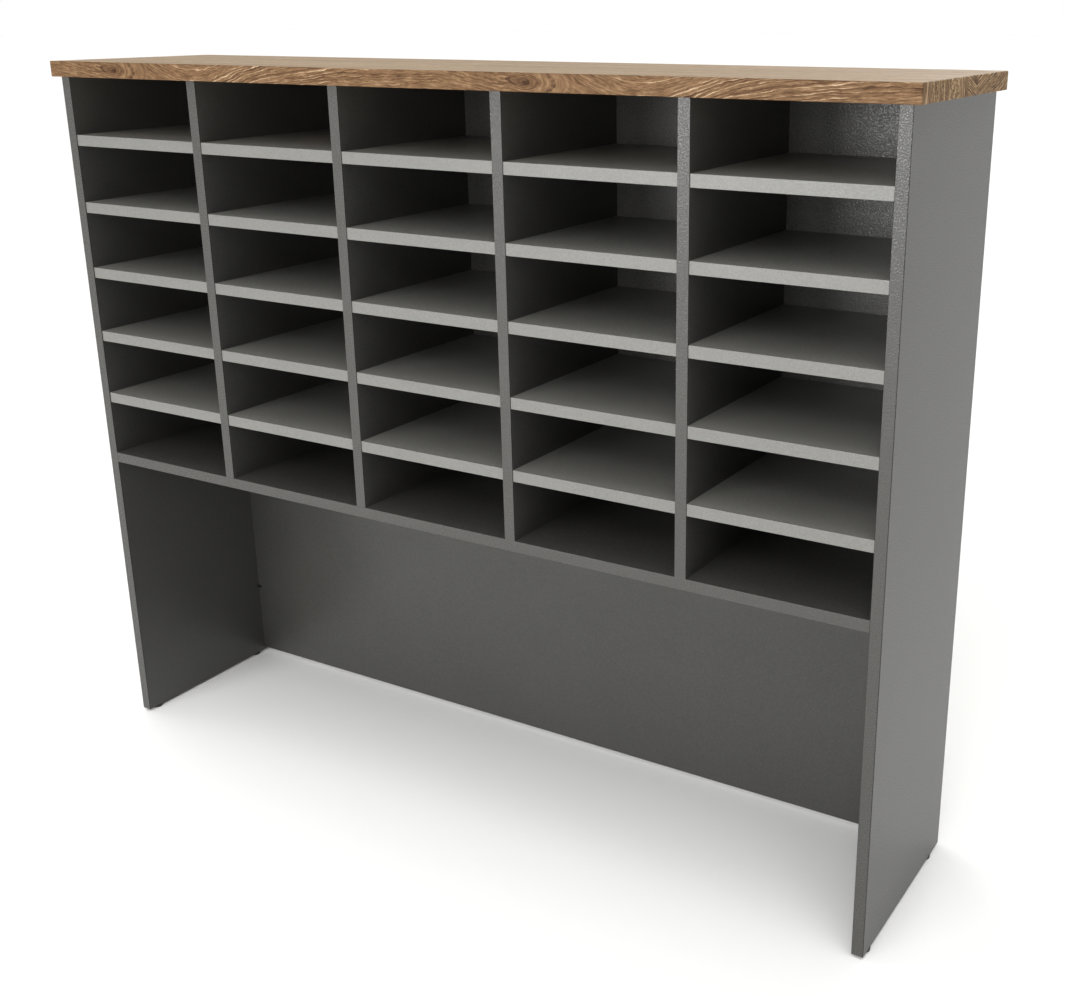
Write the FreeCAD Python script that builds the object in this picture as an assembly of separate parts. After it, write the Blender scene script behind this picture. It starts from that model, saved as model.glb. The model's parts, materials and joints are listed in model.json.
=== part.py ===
import FreeCAD, Part
import os

# Pigeonhole mail sorter: a free-standing office unit of melamine-faced board.
#
# Two side panels stand on glides and carry a thick wood-grain top. A bottom shelf joins
# them at knee height, with a back panel above it and another below it. Dividers and
# short shelves split the space over the bottom shelf into equal compartments, and the
# space under it stays open at the front.
#
# Millimetres. X runs along the width, Y from the front to the back, Z up. The origin is
# on the floor, under the middle of the top. Columns count from the left and rows from
# the top.

Vector = FreeCAD.Vector
os.makedirs("parts", exist_ok=True)

# Compartments
column_count = 5
row_count = 6
bay_width = 273.4
bay_height = 94.0
knee_height = 503.0

# Boards
side_depth = 330.0
side_thickness = 18.0
divider_thickness = 18.0
shelf_thickness = 18.0
shelf_setback = 1.5
bottom_shelf_thickness = 18.0
back_thickness = 18.0
back_inset = 6.0
lower_back_gap = 5.0
top_thickness = 25.0
top_end_overhang = 12.5
top_front_overhang = 10.0
top_rear_overhang = 5.0

# Edge bands glued to the boards
band_thickness = 1.0
band_round = 0.6
top_band_thickness = 2.0
top_band_round = 1.5

# Glides nailed under the side panels
glide_height = 5.0
glide_radius = 10.0
glide_round = 1.0
glide_front_inset = 25.0
glide_rear_inset = 44.0
nail_radius = 1.3
nail_length = 20.0
nail_head_radius = 3.5
nail_head_height = 1.2
nail_recess = 2.5
nail_recess_clearance = 0.5

# Dowels
dowel_radius = 4.0
dowel_length = 30.0
dowel_bite = 10.0
through_dowel_length = 60.0
dowel_chamfer = 1.0
dowel_end_gap = 1.0
dowel_front_inset = 60.0
dowel_rear_inset = 60.0
lower_back_dowel_count = 4
lower_back_dowel_inset = 120.0

# Cam fittings: a zinc drum let into a board, and a bolt into the side panel
cam_radius = 7.5
cam_height = 12.5
cam_distance = 24.0
cam_bore_gap = 0.5
cam_slot_length = 9.0
cam_slot_width = 1.6
cam_slot_depth = 2.5
bolt_thread_radius = 2.5
bolt_thread_length = 11.0
bolt_collar_radius = 3.6
bolt_collar_height = 2.0
bolt_shank_radius = 2.8
bolt_neck_radius = 1.9
bolt_neck_length = 5.0
bolt_head_radius = 3.2
bolt_head_length = 2.5
bolt_way_radius = 4.0
bottom_shelf_cam_front_inset = 95.0
bottom_shelf_cam_rear_inset = 95.0
upper_back_cam_inset = 70.0
lower_back_cam_inset = 100.0

# Screws that hold the upper back to the dividers
screw_radius = 2.0
screw_length = 40.0
screw_head_radius = 4.0
screw_head_height = 2.6
screw_recess_length = 4.4
screw_recess_width = 0.9
screw_recess_depth = 1.4
screws_per_divider = 3
screw_end_inset = 65.0

# Pegs in the side panels, just in front of the lower back
peg_radius = 2.5
peg_reach = 8.0
peg_bite = 9.0
peg_chamfer = 0.5
peg_height = 144.0

# Clearances
fitting_clearance = 0.1
peg_clearance = 0.2
overcut = 1.0
touch = 0.001

# Levels
panel_bottom = glide_height
bottom_shelf_low = panel_bottom + knee_height
bottom_shelf_top = bottom_shelf_low + bottom_shelf_thickness
bottom_shelf_middle = bottom_shelf_low + bottom_shelf_thickness / 2
top_low = bottom_shelf_top + row_count * bay_height + (row_count - 1) * shelf_thickness
top_high = top_low + top_thickness
lower_back_low = panel_bottom + lower_back_gap

# Widths
inner_half = (column_count * bay_width + (column_count - 1) * divider_thickness) / 2
outer_half = inner_half + side_thickness
side_middle = inner_half + side_thickness / 2
top_half = outer_half + top_end_overhang

# Depths
top_depth = top_front_overhang + side_depth + top_rear_overhang
top_front = -top_depth / 2
top_rear = top_depth / 2
front = top_front + top_front_overhang
rear = front + side_depth
back_rear = rear - back_inset
back_front = back_rear - back_thickness
back_middle = back_rear - back_thickness / 2
dowel_lines = (front + dowel_front_inset, back_front - dowel_rear_inset)

left = Vector(-1, 0, 0)
right = Vector(1, 0, 0)
forward = Vector(0, -1, 0)
backward = Vector(0, 1, 0)
down = Vector(0, 0, -1)
up = Vector(0, 0, 1)

columns = range(1, column_count + 1)
dividers = range(1, column_count)
shelf_rows = range(1, row_count)
sides = (left, right)


def column_left(column):
    """X of the left wall of a column."""
    return -inner_half + (column - 1) * (bay_width + divider_thickness)


def divider_left(divider):
    """X of the left face of a divider."""
    return column_left(divider) + bay_width


def divider_middle(divider):
    """X of the middle of a divider's thickness."""
    return divider_left(divider) + divider_thickness / 2


def shelf_low(row):
    """Z of the underside of the shelves below a row."""
    return top_low - row * (bay_height + shelf_thickness)


def shelf_middle(row):
    """Z of the middle of the thickness of the shelves below a row."""
    return shelf_low(row) + shelf_thickness / 2


def spread(first, last, count):
    """Evenly spaced values from first to last."""
    step = (last - first) / (count - 1)
    return [first + step * index for index in range(count)]


def block(low, high):
    """Box between two opposite corners."""
    size = [high[axis] - low[axis] for axis in range(3)]
    return Part.makeBox(*size, Vector(*low))


def rod(radius, start, direction, length):
    """Cylinder from a start point along a direction."""
    return Part.makeCylinder(radius, length, start, direction)


def joined(shapes):
    """One solid of touching shapes."""
    return shapes[0].fuse(shapes[1:]).removeSplitter()


def save(name, *solids):
    """Write one sub-part; several solids are a group of like pieces."""
    shape = solids[0] if len(solids) == 1 else Part.makeCompound(solids)
    shape.exportStep("parts/" + name + ".step")


# Edge bands

def lies_in(edge, axis, value):
    """Whether both ends of a straight edge lie at a value along an axis."""
    return all(abs(vertex.Point[axis] - value) < touch for vertex in edge.Vertexes)


def band(low, high, axis, outer):
    """Strip whose long arrises are rounded on its outer face, the one at outer along axis."""
    strip = block(low, high)
    longest = max(edge.Length for edge in strip.Edges)
    arrises = [edge for edge in strip.Edges
               if lies_in(edge, axis, outer) and edge.Length > longest - touch]
    return strip.makeFillet(min(band_round, 0.8 * band_thickness), arrises)


def top_band(low, high, axis, inner, wraps):
    """Strip on the top's edge, rounded where it doesn't touch the board at inner along axis.

    A strip that wraps covers the ends of its neighbours and rounds the corners too.
    """
    strip = block(low, high)
    longest = max(edge.Length for edge in strip.Edges)
    arrises = [edge for edge in strip.Edges
               if not lies_in(edge, axis, inner) and (wraps or edge.Length > longest - touch)]
    return strip.makeFillet(min(top_band_round, 0.8 * top_band_thickness), arrises)


# Dowels

def dowel(middle, direction, length):
    """Round dowel with chamfered ends, about a middle point."""
    start = middle - direction * (length / 2)
    body = rod(dowel_radius, start, direction, length)
    rims = [edge for edge in body.Edges if edge.isClosed()]
    return body.makeChamfer(dowel_chamfer, rims)


def seated_dowel(mouth, direction):
    """Dowel that bites into the board that direction points into, from a joint's plane."""
    return dowel(mouth + direction * (dowel_bite - dowel_length / 2), direction, dowel_length)


def dowel_hole(mouth, direction, depth):
    """Hole for a dowel that goes in by depth."""
    return rod(dowel_radius + fitting_clearance, mouth, direction, depth + dowel_end_gap)


shelf_dowel_reach = (through_dowel_length - divider_thickness) / 2
dowel_reach = dowel_length - dowel_bite


def shelf_joints(side):
    """Points where the outer shelves meet a side panel at a dowel."""
    return [Vector(side.x * inner_half, y, shelf_middle(row))
            for row in shelf_rows for y in dowel_lines]


def bottom_shelf_dowel_joints(side):
    """Points where the bottom shelf meets a side panel at a dowel."""
    return [Vector(side.x * inner_half, y, bottom_shelf_middle) for y in dowel_lines]


def side_top_joints(side):
    """Points where a side panel meets the top at a dowel."""
    return [Vector(side.x * side_middle, y, top_low) for y in dowel_lines]


def divider_joints(divider, level):
    """Points where a divider's end meets the board at a level, at a dowel."""
    return [Vector(divider_middle(divider), y, level) for y in dowel_lines]


def lower_back_dowel_joints():
    """Points where the lower back meets the bottom shelf at a dowel."""
    reach = inner_half - lower_back_dowel_inset
    return [Vector(x, back_middle, bottom_shelf_low)
            for x in spread(-reach, reach, lower_back_dowel_count)]


# Cam fittings

def bottom_shelf_cam_joints(side):
    """Points where the bottom shelf is bolted to a side panel."""
    lines = (front + bottom_shelf_cam_front_inset, back_front - bottom_shelf_cam_rear_inset)
    return [Vector(side.x * inner_half, y, bottom_shelf_middle) for y in lines]


def upper_back_cam_joints(side):
    """Points where the upper back is bolted to a side panel."""
    levels = (bottom_shelf_top + upper_back_cam_inset, top_low - upper_back_cam_inset)
    return [Vector(side.x * inner_half, back_middle, z) for z in levels]


def lower_back_cam_joints(side):
    """Points where the lower back is bolted to a side panel."""
    levels = (lower_back_low + lower_back_cam_inset, bottom_shelf_low - lower_back_cam_inset)
    return [Vector(side.x * inner_half, back_middle, z) for z in levels]


def bolted_boards():
    """Each bolted board's joints with a side panel, its thickness and the way its drums face."""
    return ((bottom_shelf_cam_joints, bottom_shelf_thickness, down),
            (upper_back_cam_joints, back_thickness, backward),
            (lower_back_cam_joints, back_thickness, backward))


def cam_mouth(joint, side, thickness, facing):
    """Centre of a drum's bore on the board's face."""
    return joint - side * cam_distance + facing * (thickness / 2)


def cam_bores(joint, side, thickness, facing):
    """The drum's bore in a board's face and the bolt's way in from the board's end."""
    mouth = cam_mouth(joint, side, thickness, facing)
    return [rod(cam_radius + fitting_clearance, mouth, -facing, cam_height + cam_bore_gap),
            rod(bolt_way_radius, joint, -side, cam_distance)]


def cam_drum(joint, side, thickness, facing):
    """Drum with a cross slot on its face and an opening for the bolt's head."""
    mouth = cam_mouth(joint, side, thickness, facing)
    drum = rod(cam_radius, mouth, -facing, cam_height)
    floor = mouth - facing * cam_slot_depth
    across = side.cross(facing)
    slots = [slot_between(floor, side, across), slot_between(floor, across, side)]
    slots = [slot.extrude(facing * (cam_slot_depth + overcut)) for slot in slots]
    way = rod(bolt_way_radius, joint, -side, cam_distance + bolt_head_length)
    return drum.cut(slots + [way])


def slot_between(middle, along, across):
    """Flat rectangle of a drum's slot."""
    reach = along * (cam_slot_length / 2)
    half = across * (cam_slot_width / 2)
    corners = [middle - reach - half, middle + reach - half,
               middle + reach + half, middle - reach + half]
    return Part.Face(Part.makePolygon(corners + corners[:1]))


def cam_bolt(joint, side):
    """Bolt with its thread in the side panel and its head inside the drum."""
    head_start = cam_distance - bolt_head_length / 2
    neck_start = head_start - bolt_neck_length
    lengths = ((bolt_thread_radius, -bolt_thread_length, 0),
               (bolt_collar_radius, 0, bolt_collar_height),
               (bolt_shank_radius, bolt_collar_height, neck_start),
               (bolt_neck_radius, neck_start, head_start),
               (bolt_head_radius, head_start, head_start + bolt_head_length))
    return joined([rod(radius, joint - side * begin, -side, end - begin)
                   for radius, begin, end in lengths])


def bolt_hole(joint, side):
    """Hole in the side panel for a bolt's thread."""
    return rod(bolt_thread_radius + fitting_clearance, joint, side,
               bolt_thread_length + dowel_end_gap)


# Back screws

def screw_points(divider):
    """Centres of a divider's screw heads on the rear of the upper back."""
    levels = spread(bottom_shelf_top + screw_end_inset, top_low - screw_end_inset,
                    screws_per_divider)
    return [Vector(divider_middle(divider), back_rear, z) for z in levels]


def screw(point):
    """Countersunk screw with a cross recess, flush with the panel."""
    head = Part.makeCone(screw_head_radius, screw_radius, screw_head_height, point, forward)
    shank = rod(screw_radius, point, forward, screw_length)
    long_half = screw_recess_length / 2
    thin_half = screw_recess_width / 2
    bars = [block((point.x - wide, point.y - screw_recess_depth, point.z - tall),
                  (point.x + wide, point.y + overcut, point.z + tall))
            for wide, tall in ((long_half, thin_half), (thin_half, long_half))]
    return joined([head, shank]).cut(bars)


def screw_hole(point):
    """Countersunk clearance hole for a screw, through the panel and on into the divider."""
    sink = Part.makeCone(screw_head_radius + fitting_clearance, screw_radius + fitting_clearance,
                         screw_head_height, point, forward)
    return [sink, rod(screw_radius + fitting_clearance, point, forward,
                      screw_length + dowel_end_gap)]


# Glides and pegs

def glide_points(side):
    """Centres of a side panel's glides, on its lower edge."""
    return [Vector(side.x * side_middle, y, panel_bottom)
            for y in (front + glide_front_inset, rear - glide_rear_inset)]


def glide_pad(point):
    """Round pad with a rounded lower rim and a recess for its nail's head."""
    pad = rod(glide_radius, point, down, glide_height)
    rims = [edge for edge in pad.Edges
            if edge.isClosed() and lies_in(edge, 2, point.z - glide_height)]
    pad = pad.makeFillet(glide_round, rims)
    foot = point + down * glide_height
    recess = rod(nail_head_radius + nail_recess_clearance, foot, up, nail_recess)
    way = rod(nail_radius + fitting_clearance, foot, up, glide_height)
    return pad.cut([recess, way])


def glide_nail(point):
    """Nail that holds a pad, its head up in the recess."""
    seat = point + down * (glide_height - nail_recess)
    head = rod(nail_head_radius, seat, down, nail_head_height)
    return joined([head, rod(nail_radius, seat, up, nail_length)])


def nail_hole(point):
    """Hole in a side panel's lower edge for a nail."""
    return rod(nail_radius + fitting_clearance, point, up, nail_length)


def peg_mouth(side):
    """Centre of a peg on a side panel's inner face."""
    return Vector(side.x * inner_half, back_front - peg_radius - peg_clearance,
                  panel_bottom + peg_height)


def peg(side):
    """Round peg that stands out of a side panel in front of the lower back."""
    body = rod(peg_radius, peg_mouth(side) + side * peg_bite, -side, peg_bite + peg_reach)
    rims = [edge for edge in body.Edges if edge.isClosed()]
    return body.makeChamfer(peg_chamfer, rims)


def peg_hole(side):
    """Hole in a side panel for a peg."""
    return rod(peg_radius + fitting_clearance, peg_mouth(side), side, peg_bite + dowel_end_gap)


# Boards

def side_panel(side):
    """Side panel without its edge bands."""
    faces = sorted((side.x * inner_half, side.x * outer_half))
    board = block((faces[0], front + band_thickness, panel_bottom),
                  (faces[1], rear - band_thickness, top_low))
    dowelled = shelf_joints(side) + bottom_shelf_dowel_joints(side)
    holes = [dowel_hole(joint, side, dowel_bite) for joint in dowelled]
    holes += [dowel_hole(joint, down, dowel_reach) for joint in side_top_joints(side)]
    for joints, thickness, facing in bolted_boards():
        holes += [bolt_hole(joint, side) for joint in joints(side)]
    holes += [nail_hole(point) for point in glide_points(side)]
    return board.cut(holes + [peg_hole(side)])


def side_bands(side):
    """Edge bands on a side panel's front and rear edges."""
    faces = sorted((side.x * inner_half, side.x * outer_half))
    front_strip = band((faces[0], front, panel_bottom),
                       (faces[1], front + band_thickness, top_low), 1, front)
    rear_strip = band((faces[0], rear - band_thickness, panel_bottom),
                      (faces[1], rear, top_low), 1, rear)
    return front_strip, rear_strip


def top_panel():
    """Top without its edge bands."""
    board = block((-top_half + top_band_thickness, top_front + top_band_thickness, top_low),
                  (top_half - top_band_thickness, top_rear - top_band_thickness, top_high))
    joints = side_top_joints(left) + side_top_joints(right)
    for divider in dividers:
        joints += divider_joints(divider, top_low)
    return board.cut([dowel_hole(joint, up, dowel_bite) for joint in joints])


def top_long_band(inner, outer):
    """Edge band along the front or the rear of the top, round its corners."""
    faces = sorted((inner, outer))
    return top_band((-top_half, faces[0], top_low), (top_half, faces[1], top_high), 1, inner, True)


def top_end_band(side):
    """Edge band on one end of the top."""
    inner = side.x * (top_half - top_band_thickness)
    faces = sorted((inner, side.x * top_half))
    return top_band((faces[0], top_front + top_band_thickness, top_low),
                    (faces[1], top_rear - top_band_thickness, top_high), 0, inner, False)


def bottom_shelf():
    """Full-width shelf under the compartments, without its edge bands."""
    board = block((-inner_half, front + band_thickness, bottom_shelf_low),
                  (inner_half, back_rear - band_thickness, bottom_shelf_top))
    holes = []
    for side in sides:
        holes += [dowel_hole(joint, -side, dowel_reach) for joint in bottom_shelf_dowel_joints(side)]
        for joint in bottom_shelf_cam_joints(side):
            holes += cam_bores(joint, side, bottom_shelf_thickness, down)
    for divider in dividers:
        joints = divider_joints(divider, bottom_shelf_top)
        holes += [dowel_hole(joint, down, dowel_bite) for joint in joints]
    holes += [dowel_hole(joint, up, dowel_bite) for joint in lower_back_dowel_joints()]
    return board.cut(holes)


def bottom_shelf_bands():
    """Edge bands on the bottom shelf's front and rear edges."""
    front_strip = band((-inner_half, front, bottom_shelf_low),
                       (inner_half, front + band_thickness, bottom_shelf_top), 1, front)
    rear_strip = band((-inner_half, back_rear - band_thickness, bottom_shelf_low),
                      (inner_half, back_rear, bottom_shelf_top), 1, back_rear)
    return front_strip, rear_strip


def divider_board(divider):
    """Upright board between two columns, without its edge band."""
    x = divider_left(divider)
    board = block((x, front + band_thickness, bottom_shelf_top),
                  (x + divider_thickness, back_front, top_low))
    holes = [rod(dowel_radius + fitting_clearance, Vector(x - overcut, y, shelf_middle(row)),
                 right, divider_thickness + 2 * overcut)
             for row in shelf_rows for y in dowel_lines]
    holes += [dowel_hole(joint, up, dowel_reach)
              for joint in divider_joints(divider, bottom_shelf_top)]
    holes += [dowel_hole(joint, down, dowel_reach) for joint in divider_joints(divider, top_low)]
    for point in screw_points(divider):
        holes += screw_hole(point)
    return board.cut(holes)


def divider_band(divider):
    """Edge band on a divider's front edge."""
    x = divider_left(divider)
    return band((x, front, bottom_shelf_top),
                (x + divider_thickness, front + band_thickness, top_low), 1, front)


def shelf_board(column, row):
    """Short shelf below one compartment, without its edge band."""
    x_left = column_left(column)
    x_right = x_left + bay_width
    board = block((x_left, front + shelf_setback + band_thickness, shelf_low(row)),
                  (x_right, back_front, shelf_low(row) + shelf_thickness))
    reach_left = dowel_reach if column == 1 else shelf_dowel_reach
    reach_right = dowel_reach if column == column_count else shelf_dowel_reach
    holes = []
    for y in dowel_lines:
        holes.append(dowel_hole(Vector(x_left, y, shelf_middle(row)), right, reach_left))
        holes.append(dowel_hole(Vector(x_right, y, shelf_middle(row)), left, reach_right))
    return board.cut(holes)


def shelf_band(column, row):
    """Edge band on a short shelf's front edge."""
    x_left = column_left(column)
    outer = front + shelf_setback
    return band((x_left, outer, shelf_low(row)),
                (x_left + bay_width, outer + band_thickness, shelf_low(row) + shelf_thickness),
                1, outer)


def upper_back():
    """Back panel behind the compartments."""
    board = block((-inner_half, back_front, bottom_shelf_top), (inner_half, back_rear, top_low))
    holes = []
    for side in sides:
        for joint in upper_back_cam_joints(side):
            holes += cam_bores(joint, side, back_thickness, backward)
    for divider in dividers:
        for point in screw_points(divider):
            holes += screw_hole(point)
    return board.cut(holes)


def lower_back():
    """Back panel of the knee space, without the band on its lower edge."""
    board = block((-inner_half, back_front, lower_back_low + band_thickness),
                  (inner_half, back_rear, bottom_shelf_low))
    holes = [dowel_hole(joint, down, dowel_reach) for joint in lower_back_dowel_joints()]
    for side in sides:
        for joint in lower_back_cam_joints(side):
            holes += cam_bores(joint, side, back_thickness, backward)
    return board.cut(holes)


def lower_back_band():
    """Edge band on the lower back's lower edge."""
    return band((-inner_half, back_front, lower_back_low),
                (inner_half, back_rear, lower_back_low + band_thickness), 2, lower_back_low)


# The whole unit

save("left_side_panel", side_panel(left))
save("right_side_panel", side_panel(right))
save("left_side_edge_bands", *side_bands(left))
save("right_side_edge_bands", *side_bands(right))

save("top_panel", top_panel())
save("top_front_edge_band", top_long_band(top_front + top_band_thickness, top_front))
save("top_rear_edge_band", top_long_band(top_rear - top_band_thickness, top_rear))
save("top_end_edge_bands", *[top_end_band(side) for side in sides])

save("bottom_shelf", bottom_shelf())
save("bottom_shelf_edge_bands", *bottom_shelf_bands())

for divider in dividers:
    save("divider_%d" % divider, divider_board(divider))
save("divider_edge_bands", *[divider_band(divider) for divider in dividers])

for column in columns:
    for row in shelf_rows:
        save("shelf_column_%d_row_%d" % (column, row), shelf_board(column, row))
save("shelf_edge_bands", *[shelf_band(column, row) for column in columns for row in shelf_rows])

save("upper_back_panel", upper_back())
save("lower_back_panel", lower_back())
save("lower_back_edge_band", lower_back_band())

save("shelf_through_dowels", *[dowel(Vector(divider_middle(divider), y, shelf_middle(row)),
                                     right, through_dowel_length)
                               for divider in dividers for row in shelf_rows
                               for y in dowel_lines])
save("shelf_end_dowels", *[seated_dowel(joint, side)
                           for side in sides for joint in shelf_joints(side)])
top_joints = side_top_joints(left) + side_top_joints(right)
for divider in dividers:
    top_joints += divider_joints(divider, top_low)
save("top_dowels", *[seated_dowel(joint, up) for joint in top_joints])
save("bottom_shelf_end_dowels", *[seated_dowel(joint, side) for side in sides
                                  for joint in bottom_shelf_dowel_joints(side)])
save("divider_foot_dowels", *[seated_dowel(joint, down) for divider in dividers
                              for joint in divider_joints(divider, bottom_shelf_top)])
save("lower_back_dowels", *[seated_dowel(joint, up) for joint in lower_back_dowel_joints()])

save("cam_drums", *[cam_drum(joint, side, thickness, facing)
                    for joints, thickness, facing in bolted_boards()
                    for side in sides for joint in joints(side)])
save("cam_bolts", *[cam_bolt(joint, side) for joints, thickness, facing in bolted_boards()
                    for side in sides for joint in joints(side)])
save("back_panel_screws", *[screw(point) for divider in dividers
                            for point in screw_points(divider)])

save("glide_pads", *[glide_pad(point) for side in sides for point in glide_points(side)])
save("glide_nails", *[glide_nail(point) for side in sides for point in glide_points(side)])
save("back_stop_pegs", *[peg(side) for side in sides])
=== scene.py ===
import json
import math

import bpy
from mathutils import Euler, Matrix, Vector


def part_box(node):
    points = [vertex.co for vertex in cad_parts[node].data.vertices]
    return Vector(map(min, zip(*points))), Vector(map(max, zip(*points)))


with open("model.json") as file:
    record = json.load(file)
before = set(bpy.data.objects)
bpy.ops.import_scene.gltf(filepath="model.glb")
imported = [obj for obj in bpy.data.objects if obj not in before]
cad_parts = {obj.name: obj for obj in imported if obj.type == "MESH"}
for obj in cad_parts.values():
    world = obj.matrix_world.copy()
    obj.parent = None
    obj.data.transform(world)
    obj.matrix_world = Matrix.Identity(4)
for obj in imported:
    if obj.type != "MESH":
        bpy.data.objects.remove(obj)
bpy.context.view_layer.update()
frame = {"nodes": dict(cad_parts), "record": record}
nodes = frame["nodes"]

# Places read from the frame, in metres: the faces that the edge bands are glued to, the faces
# of the right side panel, and the middle height of the top
BODY_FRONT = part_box("left_side_panel")[0].y
BODY_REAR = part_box("left_side_panel")[1].y
SHELF_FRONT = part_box("shelf_column_1_row_1")[0].y
SIDE_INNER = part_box("right_side_panel")[0].x
SIDE_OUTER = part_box("right_side_panel")[1].x
TOP_LOW, TOP_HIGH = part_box("top_panel")
TOP_MIDDLE = (TOP_LOW.z + TOP_HIGH.z) / 2

# Numbers of the axes
X, Y = 0, 1


# ---------------------------------------------------------------------------
# Shader graphs
# ---------------------------------------------------------------------------

class Field:
    """A number or colour that varies over a surface. Its arithmetic adds shader nodes."""

    def __init__(self, graph, socket):
        self.graph = graph
        self.socket = socket

    def __add__(self, other):
        return self.graph.math("ADD", self, other)

    def __radd__(self, other):
        return self.graph.math("ADD", other, self)

    def __sub__(self, other):
        return self.graph.math("SUBTRACT", self, other)

    def __rsub__(self, other):
        return self.graph.math("SUBTRACT", other, self)

    def __mul__(self, other):
        return self.graph.math("MULTIPLY", self, other)

    def __rmul__(self, other):
        return self.graph.math("MULTIPLY", other, self)

    def __truediv__(self, other):
        return self.graph.math("DIVIDE", self, other)

    def __abs__(self):
        return self.graph.math("ABSOLUTE", self)

    def apply(self, operation, *others):
        return self.graph.math(operation, self, *others)


class Graph:
    """A material's node tree. Its calls add nodes and return what comes out of them."""

    def __init__(self, name):
        self.material = bpy.data.materials.new(name)
        self.material.use_nodes = True
        self.tree = self.material.node_tree
        self.tree.nodes.clear()
        self.shader = self.node("ShaderNodeBsdfPrincipled")
        output = self.node("ShaderNodeOutputMaterial")
        self.tree.links.new(self.shader.outputs["BSDF"], output.inputs["Surface"])

    def node(self, kind, **settings):
        made = self.tree.nodes.new(kind)
        for key, value in settings.items():
            setattr(made, key, value)
        return made

    def feed(self, socket, value):
        """Link a field to a socket, or set the socket to a constant."""
        if isinstance(value, Field):
            self.tree.links.new(value.socket, socket)
        else:
            socket.default_value = value

    def math(self, operation, *values):
        made = self.node("ShaderNodeMath", operation=operation)
        for socket, value in zip(made.inputs, values):
            self.feed(socket, value)
        return Field(self, made.outputs["Value"])

    def place(self):
        """The point's x, y and z in the row frame, in metres."""
        point = self.node("ShaderNodeTexCoord").outputs["Object"]
        split = self.node("ShaderNodeSeparateXYZ")
        self.tree.links.new(point, split.inputs["Vector"])
        return [Field(self, split.outputs[axis]) for axis in "XYZ"]

    def vector(self, *parts):
        made = self.node("ShaderNodeCombineXYZ")
        for socket, value in zip(made.inputs, parts):
            self.feed(socket, value)
        return Field(self, made.outputs["Vector"])

    def noise(self, *parts, detail=2.0, roughness=0.5):
        """Smooth noise from 0 to 1 with features about one unit long."""
        made = self.node("ShaderNodeTexNoise", noise_dimensions="3D")
        self.feed(made.inputs["Vector"], self.vector(*parts))
        made.inputs["Scale"].default_value = 1.0
        made.inputs["Detail"].default_value = detail
        made.inputs["Roughness"].default_value = roughness
        return Field(self, made.outputs["Fac"])

    def specks(self, place, count, **settings):
        """Noise that is alike in every direction, with count features a metre."""
        return self.noise(*(part * count for part in place), **settings)

    def lottery(self, number):
        """A random value from 0 to 1 for each whole number."""
        made = self.node("ShaderNodeTexWhiteNoise", noise_dimensions="1D")
        self.feed(made.inputs["W"], number)
        return Field(self, made.outputs["Value"])

    def ramp(self, value, low, high, to_low=0.0, to_high=1.0):
        """Goes smoothly from to_low, where value is low, to to_high, where it is high."""
        made = self.node("ShaderNodeMapRange", interpolation_type="SMOOTHSTEP")
        for name, given in (("Value", value), ("From Min", low), ("From Max", high),
                            ("To Min", to_low), ("To Max", to_high)):
            self.feed(made.inputs[name], given)
        return Field(self, made.outputs["Result"])

    def stripe(self, value, at, inner, outer, strength=1.0):
        """Is strength where value is within inner of at, and fades to 0 at outer from it."""
        return self.ramp(abs(value - at), inner, outer, strength, 0.0)

    def radius(self, first, second):
        """Distance of a point with these two coordinates from their zero."""
        return (first * first + second * second).apply("SQRT")

    def blend(self, factor, first, second):
        """Number between two."""
        return first + factor * (second - first)

    def mix(self, factor, first, second):
        """Colour between two, each a field or red, green and blue."""
        made = self.node("ShaderNodeMix", data_type="RGBA")
        self.feed(made.inputs[0], factor)
        # inputs 6 and 7 and output 2 of this node are its colours
        for socket, colour in zip(made.inputs[6:8], (first, second)):
            self.feed(socket, colour if isinstance(colour, Field) else (*colour, 1.0))
        return Field(self, made.outputs[2])

    def ladder(self, value, stops):
        """Colour read off stops, each a position from 0 to 1 and red, green and blue."""
        made = self.node("ShaderNodeValToRGB")
        steps = made.color_ramp.elements
        for position, _ in stops[1:-1]:
            steps.new(position)
        for step, (position, colour) in zip(steps, stops):
            step.position = position
            step.color = (*colour, 1.0)
        self.feed(made.inputs["Fac"], value)
        return Field(self, made.outputs["Color"])

    def finish(self, colour, roughness, height, depth):
        """Feed the shader: colour, roughness and a bump that is depth metres high."""
        self.feed(self.shader.inputs["Base Color"], colour)
        self.feed(self.shader.inputs["Roughness"], roughness)
        bump = self.node("ShaderNodeBump")
        self.feed(bump.inputs["Height"], height)
        bump.inputs["Distance"].default_value = depth
        self.feed(self.shader.inputs["Normal"], Field(self, bump.outputs["Normal"]))
        return self.material


# ---------------------------------------------------------------------------
# Melamine boards and their edge bands
# ---------------------------------------------------------------------------

# Red, green and blue of the two board colours, as shares of their grey
WARM_GREY = (1.01, 1.0, 0.935)
WARM_CHARCOAL = (1.02, 1.0, 0.925)

# Features a metre of the three noises, and the share of each in the colour
CLOUDS, CLOUD_SHARE = 11, 0.14
PEBBLES, PEBBLE_SHARE = 400, 0.43
FLECKS, FLECK_SHARE = 560, 0.43
# What part of their range counts: from all dark to all light, and from rough to smooth
TONE_RANGE = (0.36, 0.64)
FLECK_RANGE = (0.38, 0.62)

MELAMINE_ROUGHNESS = 0.36
# Reflectance of a joint line or of a painted shade line, as a share of the board's
JOINT_SHADE = 0.15
# Where a dark line (joint or painted shade) starts to fade and where it ends, as shares of its
# half width
JOINT_FADE = (0.5, 1.1)


def tint(grey, warmth):
    """Colour of a board whose green reflectance is grey."""
    return tuple(grey * part for part in warmth)


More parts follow.
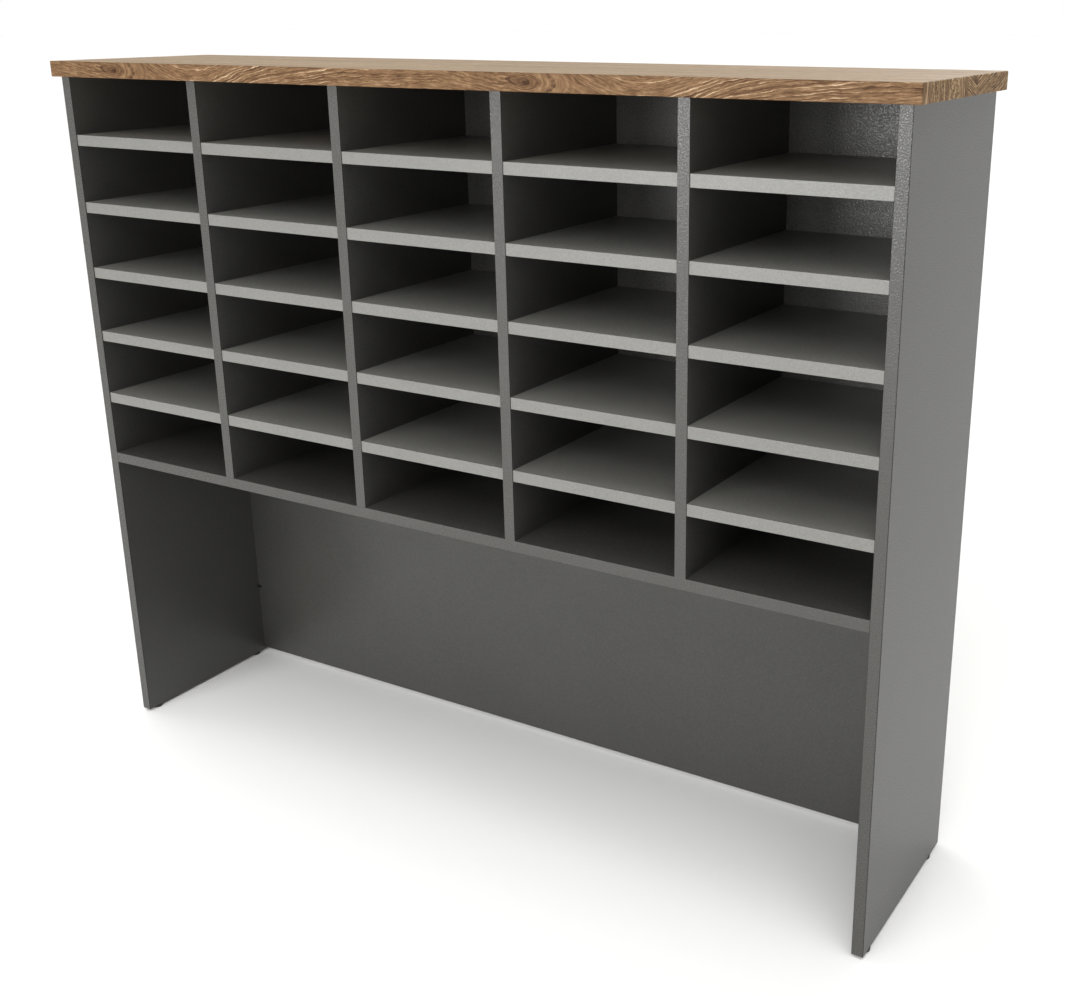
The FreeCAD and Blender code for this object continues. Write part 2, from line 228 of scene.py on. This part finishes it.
def melamine(name, grey, warmth, seams=(), pebble=0.00005, spread=0.05, mottle=0.10):
    """Matt board face: pebble grain and pearl flecks, faint mottle, dark joint lines and painted
    shade lines.

    The reflectance is grey, more or less by the share mottle. pebble is the height of the grain
    in metres, and spread is how far the roughness varies. A seam is an axis, a place along it
    (the same on both sides of 0 on x) and a half width.
    """
    graph = Graph(name)
    place = graph.place()
    pebbles = graph.specks(place, PEBBLES, detail=1.0, roughness=0.6)
    clouds = graph.specks(place, CLOUDS, detail=3.0)
    flecks = graph.specks(place, FLECKS, detail=1.0)
    tone = CLOUD_SHARE * clouds + PEBBLE_SHARE * pebbles + FLECK_SHARE * flecks
    colour = graph.mix(graph.ramp(tone, *TONE_RANGE), tint(grey * (1.0 - mottle), warmth),
                       tint(grey * (1.0 + mottle), warmth))
    # each seam darkens the colour: a glue line at a joint, or painted shade along a side band's
    # edge
    for axis, at, half in seams:
        position = abs(place[axis]) if axis == X else place[axis]
        line = graph.stripe(position, at, *(half * share for share in JOINT_FADE))
        colour = graph.mix(line, colour, tint(grey * JOINT_SHADE, warmth))
    roughness = graph.ramp(flecks, *FLECK_RANGE, MELAMINE_ROUGHNESS + spread,
                           MELAMINE_ROUGHNESS - spread)
    return graph.finish(colour, roughness, pebbles, pebble)


# ---------------------------------------------------------------------------
# Wood grain: parts of every print
# ---------------------------------------------------------------------------

# Printed colours from the darkest pore to the palest line, on the long bands and on the faces;
# the faces' are paler and greyer, painted sheen of grazing light on the bands' print
BAND_INKS = ((0.00, (0.044, 0.017, 0.005)), (0.30, (0.102, 0.051, 0.021)),
             (0.52, (0.177, 0.099, 0.046)), (0.72, (0.262, 0.165, 0.088)),
             (1.00, (0.500, 0.362, 0.228)))
SHEENED_FACE_INKS = ((0.00, (0.216, 0.146, 0.086)), (0.50, (0.396, 0.295, 0.201)),
             (1.00, (0.518, 0.409, 0.297)))
# The short bands have less green and blue than the long ones
END_INKS = tuple((at, (red, green * 0.96, blue * 0.80)) for at, (red, green, blue) in BAND_INKS)

# Each set of lines has a seed of its own, so that no two are alike
ARCH_SEED, SWEEP_SEED = 3.0, 11.0
UPRIGHT_SEED, VEE_SEED, ARC_SEED = 23.0, 37.0, 51.0
FACE_SEED = 67.0

# How far the lines drift, in spacings, and a number that keeps the count of rings above 0
RING_DRIFT = 2.4
RING_START = 100.0

# How far patches, cream lines and dark lines shift the tone along the inks
PATCH_SHARE, CREAM_SHARE, DARK_SHARE = 0.16, 0.50, 0.40
# Roughness of dark fibres and of pale ones
FIBRE_ROUGHNESS = (0.62, 0.52)
WOOD_SPECULAR = 0.18
WOOD_BUMP = 0.00004


def growth_rings(graph, across, along, spacing, seed, breaks=22):
    """Cream and dark lines, as fields from 0 to 1, where across counts the rings.

    The rings are spacing metres apart. Their lines fade in and out along the grain, breaks
    times a metre.
    """
    drift = graph.noise(across * 90, along * 7, seed, detail=3.0)
    phase = across / spacing + drift * RING_DRIFT + RING_START
    ring = phase.apply("FLOOR")
    part = phase.apply("FRACT")
    fade = graph.noise(across * 60, along * breaks, seed + 7.3, detail=2.0)
    # a ring starts with a cream line and darkens towards its end, some rings more than others
    cream = graph.ramp(part, 0.0, 0.05) * graph.ramp(part, 0.08, 0.30, 1.0, 0.0)
    cream = cream * graph.ramp(graph.lottery(ring + seed) * 0.7 + fade * 0.9, 0.45, 0.85)
    dark = graph.ramp(part, 0.35, 0.92)
    dark = dark * graph.ramp(graph.lottery(ring + seed + 31.7) * 0.8 + fade * 0.5, 0.25, 0.95)
    return cream, dark


def streaks(graph, across, along, seed):
    """Fibres along the grain at three widths, centred on 0."""
    wide = graph.noise(across * 230, along * 16, seed + 1.7, detail=1.0) - 0.5
    broad = graph.noise(across * 480, along * 50, seed + 3.1, detail=1.0) - 0.5
    fine = graph.noise(across * 1000, along * 130, seed + 5.9, detail=2.0, roughness=0.6) - 0.5
    return wide * 0.65 + broad * 1.55 + fine * 1.3


def zone(graph, across, along, spacing, seed, **settings):
    """Cream lines, dark lines and fibres that run one way."""
    return (*growth_rings(graph, across, along, spacing, seed, **settings),
            streaks(graph, across, along, seed))


# ---------------------------------------------------------------------------
# Wood grain: the long bands
# ---------------------------------------------------------------------------

# The print repeats along x, in metres, and one of its knots is at KNOT_X
FRONT_REPEAT = 0.80
KNOT_X = -0.602
# Past the knot the swept lines go down into a bowl: where its bottom is, and how far the lines
# have gone down over the last BOWL_WIDTH before it
BOWL_PAST_KNOT = 0.19
BOWL_WIDTH, BOWL_DEPTH = 0.11, 0.030
# Then they go up again, by one height steeply and by another gently
STEEP_RISE, GENTLE_RISE = 0.034, 0.022
SWEEP_SPACING, ARCH_SPACING = 0.0042, 0.0038
# How flat the arches and the knot are, as height over length: left of the knot and right of it
ARCH_FLATNESS = (0.07, 0.36)
KNOT_FLATNESS = (0.24, 0.34)
# Two bold arches round the knot: radius, half width at full strength and in all, and strength
HOOPS = ((0.0086, 0.0003, 0.0014, 0.7), (0.0185, 0.0006, 0.0026, 1.2))
# Half the height of the knot's outline, how far its middle is left of KNOT_X, and the place of
# its darker core: right of KNOT_X, and above the outline's middle
KNOT_RADIUS = 0.0050
KNOT_LEFT = 0.003
CORE_RIGHT, CORE_ABOVE = 0.006, -0.0012


def swept_lines(graph, past_knot, up, wander):
    """Zone whose lines go down into a bowl, then up to the right and level."""
    left = (BOWL_PAST_KNOT - past_knot).apply("MAXIMUM", 0.0) / BOWL_WIDTH
    right = (past_knot - BOWL_PAST_KNOT).apply("MAXIMUM", 0.0)
    steep = 1.0 - (right * right * -100.0).apply("EXPONENT")
    gentle = 1.0 - (right * right * -20.0).apply("EXPONENT")
    bowl = left * left * BOWL_DEPTH + steep * STEEP_RISE + gentle * GENTLE_RISE
    sweep = up - bowl + wander * 1.6
    bold = (graph.ramp(past_knot, 0.12, 0.23, 0.25, 1.0)
            * graph.ramp(past_knot, 0.42, 0.56, 1.0, 0.5))
    cream, dark, fibres = zone(graph, sweep, past_knot, SWEEP_SPACING, SWEEP_SEED)
    return cream * bold, dark * 0.7, fibres


def arched_lines(graph, beside, above, broken):
    """Zone of arches that open to the left round the knot."""
    reach = beside * graph.ramp(beside, -0.01, 0.012, *ARCH_FLATNESS)
    arch = graph.radius(above, reach)
    inner_hoop, outer_hoop = (graph.stripe(arch, *hoop) for hoop in HOOPS)
    hoops = (inner_hoop + outer_hoop) * broken
    hoops = hoops * graph.ramp(beside, 0.008, 0.018)
    cream, dark, fibres = zone(graph, arch, beside, ARCH_SPACING, ARCH_SEED)
    return cream * 0.35, dark * 0.45 + hoops, fibres


def knot_mark(graph, beside, above, broken):
    """The knot, a brown lens with a dark outline and a darker core at its right end.

    Gives how dark the knot is, and a field that is 0 inside it, where there are no lines.
    """
    from_lens = beside + KNOT_LEFT
    lens = graph.radius(from_lens * graph.ramp(from_lens, -0.004, 0.004, *KNOT_FLATNESS), above)
    core = graph.radius((beside - CORE_RIGHT) * KNOT_FLATNESS[1], above - CORE_ABOVE)
    outline = graph.stripe(lens, KNOT_RADIUS, 0.0003, 0.0012)
    knot = outline * broken + graph.ramp(core, 0.0008, 0.0028, 1.15, 0.0)
    knot = knot + graph.ramp(lens, 0.0036, 0.0054, 0.45, 0.0)
    return knot, graph.ramp(lens, 0.0040, 0.0056)


def front_grain(graph, x, z):
    """Print on the long bands: a knot in cathedral arches, then swept and straight lines."""
    past_knot = ((x - KNOT_X + FRONT_REPEAT) / FRONT_REPEAT).apply("FRACT") * FRONT_REPEAT
    up = z - TOP_MIDDLE
    wander = (graph.noise(x * 30, up * 90, 1.5, detail=3.0) - 0.5) * 0.0050
    # place against the nearest knot: beside it along x, and above it across the lines
    beside = past_knot - graph.ramp(past_knot, 0.45, 0.4501, 0.0, FRONT_REPEAT)
    above = up - 0.0010 + beside * graph.ramp(beside, -0.02, 0.02, 0.13, 0.03) + wander
    breaks = graph.noise(beside * 90, up * 260, 6.1, detail=2.0)
    broken = graph.ramp(breaks, 0.40, 0.60, 0.35, 1.0)
    arched = arched_lines(graph, beside, above, broken)
    swept = swept_lines(graph, past_knot, up, wander)
    near_knot = graph.ramp(past_knot, 0.055, 0.095, 1.0, 0.0) + graph.ramp(past_knot, 0.62, 0.70)
    cream, dark, fibres = (graph.blend(near_knot, *pair) for pair in zip(swept, arched))
    knot, outside = knot_mark(graph, beside, above, broken)
    return cream * outside, (dark * outside).apply("MAXIMUM", knot), fibres


# ---------------------------------------------------------------------------
# Wood grain: the short bands and the faces
# ---------------------------------------------------------------------------

# Single upright lines: where along y, half width, and how pale (+) or dark (-)
END_LINES = ((-0.156, 0.0035, 0.8), (-0.1010, 0.0025, -0.9), (-0.0945, 0.0025, 0.8),
             (-0.0275, 0.0030, 0.7), (-0.0165, 0.0020, 0.8), (-0.0120, 0.0020, -0.9))
# Where the V has its point along y, and how steep its sides are
VEE_Y, VEE_SLOPE = 0.034, 0.36
# Where the arcs have their centre, along y and above the middle, and their height over length
ARC_Y, ARC_UP, ARC_FLATNESS = 0.075, 0.028, 0.42
UPRIGHT_SPACING, VEE_SPACING, ARC_SPACING = 0.0060, 0.0036, 0.0042
FACE_SPACING = 0.0080


def end_grain(graph, y, z):
    """Print on the short bands: upright lines, a chequered patch, a V and sweeping arcs."""
    up = z - TOP_MIDDLE
    wander = (graph.noise(y * 40, up * 60, 5.5, detail=3.0) - 0.5) * 0.005
    lean = y + wander + up * 0.06
    patch = graph.ramp(y, -0.150, -0.135, 0.0, 0.6) + graph.ramp(y, -0.078, -0.068, 0.0, 0.4)
    patch = patch * graph.ramp(y, -0.040, -0.032, 1.0, 0.0)
    dashes = graph.noise((up + y * 0.3) * 420, y * 130, 15.1, detail=1.0)
    chequer = graph.ramp(dashes, 0.38, 0.60, -0.5, 1.0) * patch
    for at, wide, strength in END_LINES:
        chequer = chequer + graph.stripe(lean, at, wide * 0.3, wide, strength)
    vee = up - VEE_SLOPE * abs(y - VEE_Y) + wander
    arc = graph.radius((y - ARC_Y) * ARC_FLATNESS, up - ARC_UP) + wander
    # the print's three zones, from front to rear
    upright_zone = zone(graph, lean, up, UPRIGHT_SPACING, UPRIGHT_SEED, breaks=90)
    vee_zone = zone(graph, vee, y, VEE_SPACING, VEE_SEED, breaks=140)
    arc_zone = zone(graph, arc, y, ARC_SPACING, ARC_SEED, breaks=110)
    to_vee = graph.ramp(y, -0.012, 0.000)
    to_arc = graph.ramp(y, 0.070, 0.095)
    cream, dark, fibres = (graph.blend(to_arc, graph.blend(to_vee, first, second), third)
                           for first, second, third in zip(upright_zone, vee_zone, arc_zone))
    return cream, dark, fibres + chequer * 0.35


def face_grain(graph, x, y):
    """Print on the board's faces: long lines that close into cathedrals here and there."""
    broad = (graph.noise(x * 1.1, y * 4.0, 2.5, detail=1.0) - 0.5) * 0.20
    close = (graph.noise(x * 6.0, y * 22.0, 8.5, detail=2.0) - 0.5) * 0.014
    across = y + broad + close
    cream, dark, fibres = zone(graph, across, x, FACE_SPACING, FACE_SEED)
    wide = graph.noise(y * 55 + broad * 40, x * 1.6, 12.0, detail=2.0) - 0.5
    return cream, dark, fibres + wide * 1.2


def wood(name, pattern, along, across, inks, level=0.50, fibre=0.55, lines=1.0):
    """Printed wood grain. pattern gives its cream lines, dark lines and fibres.

    level is where on the inks the plain ground lies, and fibre and lines are strengths.
    """
    graph = Graph(name)
    place = dict(zip("xyz", graph.place()))
    u, v = place[along], place[across]
    cream, dark, fibres = pattern(graph, u, v)
    patches = graph.noise(u * 14, v * 60, 4.0, detail=2.0) - 0.5
    tone = level + fibres * fibre + patches * PATCH_SHARE
    tone = tone + cream * (CREAM_SHARE * lines) - dark * (DARK_SHARE * lines)
    graph.shader.inputs["Specular IOR Level"].default_value = WOOD_SPECULAR
    roughness = graph.ramp(fibres, -0.4, 0.4, *FIBRE_ROUGHNESS)
    return graph.finish(graph.ladder(tone, inks), roughness, tone, WOOD_BUMP)


# ---------------------------------------------------------------------------
# Fittings
# ---------------------------------------------------------------------------

# What part of the specks' range counts, from all dark to all light
SPECK_RANGE = (0.3, 0.7)


def plain(name, dark, light, count, rough, depth, metallic=0.0):
    """Specks between two colours and two roughnesses, count to a metre and depth high."""
    graph = Graph(name)
    specks = graph.specks(graph.place(), count, detail=3.0, roughness=0.6)
    graph.shader.inputs["Metallic"].default_value = metallic
    colour = graph.mix(graph.ramp(specks, *SPECK_RANGE), dark, light)
    return graph.finish(colour, graph.ramp(specks, *SPECK_RANGE, *rough), specks, depth)


# ---------------------------------------------------------------------------
# Finishes: one for each material slot, and others for single nodes
# ---------------------------------------------------------------------------

# Glue lines between the boards and their bands, and painted shade lines along both long edges of
# the side panels' bands, where the rounded arris and the bay beside it fall into shade
HALF_JOINT = 0.0005
JOINTS = ((Y, BODY_FRONT, HALF_JOINT), (Y, BODY_REAR, HALF_JOINT))
SHELF_JOINT = ((Y, SHELF_FRONT, HALF_JOINT),)
EDGE_SHADE_LINES = ((X, SIDE_OUTER - 0.0004, 0.0009), (X, SIDE_INNER + 0.0003, 0.0006))

EDGING = {"grey": 0.050, "warmth": WARM_CHARCOAL, "pebble": 0.00038, "spread": 0.18}

FINISHES = {
    "charcoal_board": melamine("charcoal_melamine", 0.0465, WARM_CHARCOAL, seams=JOINTS,
                               mottle=0.17),
    "charcoal_band": melamine("charcoal_edging", seams=JOINTS, **EDGING),
    "back_board": melamine("back_panel_melamine", 0.062, WARM_CHARCOAL, pebble=0.00032,
                           spread=0.11, mottle=0.14),
    "grey_board": melamine("light_grey_melamine", 0.175, WARM_GREY, seams=SHELF_JOINT,
                           pebble=0.00002),
    "grey_band": melamine("light_grey_edging", 0.170, WARM_GREY, seams=SHELF_JOINT,
                          pebble=0.00015),
    # The faces' inks carry painted sheen: paler and greyer than the bands' print
    "woodgrain_board": wood("wood_grain_face", face_grain, "x", "y", SHEENED_FACE_INKS,
                            fibre=0.50, lines=0.35),
    "woodgrain_band": wood("wood_grain_front", front_grain, "x", "z", BAND_INKS,
                           level=0.46, fibre=0.50, lines=0.90),
    "dowel_wood": plain("beech_dowel", (0.42, 0.27, 0.14), (0.56, 0.38, 0.21),
                        900, (0.5, 0.65), 0.0001),
    "zinc": plain("zinc", (0.45, 0.45, 0.46), (0.62, 0.62, 0.63),
                  1200, (0.30, 0.45), 0.00003, metallic=1.0),
    "steel": plain("steel", (0.50, 0.49, 0.47), (0.64, 0.63, 0.61),
                   1500, (0.22, 0.35), 0.00002, metallic=1.0),
    "black_plastic": plain("black_plastic", (0.008, 0.008, 0.008), (0.016, 0.016, 0.016),
                           1600, (0.38, 0.52), 0.00004),
}

# The side panels' bands get the glue lines and painted shade lines along both long edges
side_edging = melamine("side_edging", seams=JOINTS + EDGE_SHADE_LINES, **EDGING)
OWN_FINISHES = {
    "left_side_edge_bands": side_edging,
    "right_side_edge_bands": side_edging,
    "top_end_edge_bands": wood("wood_grain_end", end_grain, "y", "z", END_INKS,
                               level=0.57, fibre=0.75),
}

for part in frame["record"]["subparts"]:
    node = part["node"]
    for material_slot in nodes[node].material_slots:
        material_slot.material = OWN_FINISHES.get(node, FINISHES[part["material_slot"]])


# ---------------------------------------------------------------------------
# Floor and world
# ---------------------------------------------------------------------------

FLOOR_HALF_SIZE = 60.0
FLOOR_DARK, FLOOR_LIGHT = (0.95, 0.95, 0.943), (0.98, 0.98, 0.973)
FLOOR_SPECKS = 300
FLOOR_ROUGHNESS = 0.85
FLOOR_BUMP = 0.00002


def add_floor():
    half = FLOOR_HALF_SIZE
    corners = [(-half, -half, 0.0), (half, -half, 0.0), (half, half, 0.0), (-half, half, 0.0)]
    mesh = bpy.data.meshes.new("floor")
    mesh.from_pydata(corners, [], [(0, 1, 2, 3)])
    floor = bpy.data.objects.new("floor", mesh)
    bpy.context.scene.collection.objects.link(floor)
    graph = Graph("floor_paint")
    specks = graph.specks(graph.place(), FLOOR_SPECKS, detail=2.0)
    colour = graph.mix(specks, FLOOR_DARK, FLOOR_LIGHT)
    mesh.materials.append(graph.finish(colour, FLOOR_ROUGHNESS, specks, FLOOR_BUMP))


# How the world's light falls with the height of a direction, which is 0 at the horizon and 1
# straight up: from full at the first height to SKY_LIGHT at the second
HORIZON = (0.02, 0.10)
SKY_LIGHT = 0.2


def add_world():
    """White all over to look at. It lights from the horizon, and only dimly from above."""
    world = bpy.data.worlds.new("studio")
    world.use_nodes = True
    tree = world.node_tree
    background = tree.nodes["Background"]
    background.inputs["Color"].default_value = (1.0, 1.0, 1.0, 1.0)
    direction = tree.nodes.new("ShaderNodeTexCoord")
    split = tree.nodes.new("ShaderNodeSeparateXYZ")
    fall = tree.nodes.new("ShaderNodeMapRange")
    fall.interpolation_type = "SMOOTHSTEP"
    for name, value in (("From Min", HORIZON[0]), ("From Max", HORIZON[1]),
                        ("To Min", 1.0), ("To Max", SKY_LIGHT)):
        fall.inputs[name].default_value = value
    tree.links.new(direction.outputs["Generated"], split.inputs["Vector"])
    tree.links.new(split.outputs["Z"], fall.inputs["Value"])
    seen = tree.nodes.new("ShaderNodeMath")
    seen.operation = "MAXIMUM"
    tree.links.new(fall.outputs["Result"], seen.inputs[0])
    tree.links.new(tree.nodes.new("ShaderNodeLightPath").outputs["Is Camera Ray"], seen.inputs[1])
    tree.links.new(seen.outputs["Value"], background.inputs["Strength"])
    bpy.context.scene.world = world


# ---------------------------------------------------------------------------
# Lamps
# ---------------------------------------------------------------------------

# Each lamp points here, at a place inside the sorter. Azimuths go from the front towards the
# right, and azimuths, elevations and spreads are in degrees
LAMP_TARGET = Vector((0.0, 0.0, 0.7))

# Far soft lights, the same all over the scene. name: azimuth, elevation, spread, strength
FAR_LIGHTS = {
    "overhead": (0, 90, 60, 0.50),
    "left": (-105, 58, 44, 0.78),
    "upper_right": (60, 65, 40, 0.85),
    "front": (0, 45, 30, 0.62),
    "front_right": (40, 45, 30, 0.28),
    "rear": (-177, 22, 30, 0.86),
}
FAR_LIGHT_COLOUR = (1.0, 0.997, 0.98)
# Where the far lights stand, in metres from the target. Their light doesn't depend on it
FAR_LIGHT_DISTANCE = 4.0
# Softboxes near the object. name: azimuth, elevation, distance, width, height, watts
SOFTBOXES = {
    "key": (-19, 7, 5.0, 2.2, 1.6, 102.0),
    "low_front": (8, 12, 3.2, 0.8, 0.8, 17.0),
    "fill": (30, 30, 3.2, 0.8, 0.8, 13.0),
}


def add_lamp(name, light, azimuth, elevation, distance):
    a, e = math.radians(azimuth), math.radians(elevation)
    away = Vector((math.sin(a) * math.cos(e), -math.cos(a) * math.cos(e), math.sin(e)))
    lamp = bpy.data.objects.new(name, light)
    lamp.location = LAMP_TARGET + away * distance
    lamp.rotation_euler = away.to_track_quat("Z", "Y").to_euler()
    lamp.visible_camera = False
    bpy.context.scene.collection.objects.link(lamp)


def add_lights():
    for name, (azimuth, elevation, spread, strength) in FAR_LIGHTS.items():
        light = bpy.data.lights.new(name, "SUN")
        light.energy = strength
        light.color = FAR_LIGHT_COLOUR
        light.angle = math.radians(spread)
        add_lamp(name, light, azimuth, elevation, FAR_LIGHT_DISTANCE)
    for name, (azimuth, elevation, distance, width, height, power) in SOFTBOXES.items():
        light = bpy.data.lights.new(name, "AREA")
        light.shape = "RECTANGLE"
        light.size = width
        light.size_y = height
        light.energy = power
        add_lamp(name, light, azimuth, elevation, distance)


# ---------------------------------------------------------------------------
# Camera
# ---------------------------------------------------------------------------

# Lens in millimetres, shifts as shares of the picture's longer side, place in metres, and
# angles in degrees
CAMERA_LENS = 46.362
CAMERA_SHIFTS = (-0.0959, -0.0345)
CAMERA_PLACE = (1.27889, -1.72932, 1.28689)
CAMERA_ANGLES = (71.4521, 0.1486, 30.2301)


def add_camera():
    camera = bpy.data.cameras.new("camera")
    camera.lens = CAMERA_LENS
    camera.shift_x, camera.shift_y = CAMERA_SHIFTS
    viewer = bpy.data.objects.new("camera", camera)
    viewer.location = CAMERA_PLACE
    viewer.rotation_euler = Euler([math.radians(angle) for angle in CAMERA_ANGLES])
    bpy.context.scene.collection.objects.link(viewer)
    bpy.context.scene.camera = viewer


add_floor()
add_world()
add_lights()
add_camera()
bpy.context.scene.view_settings.view_transform = "Standard"
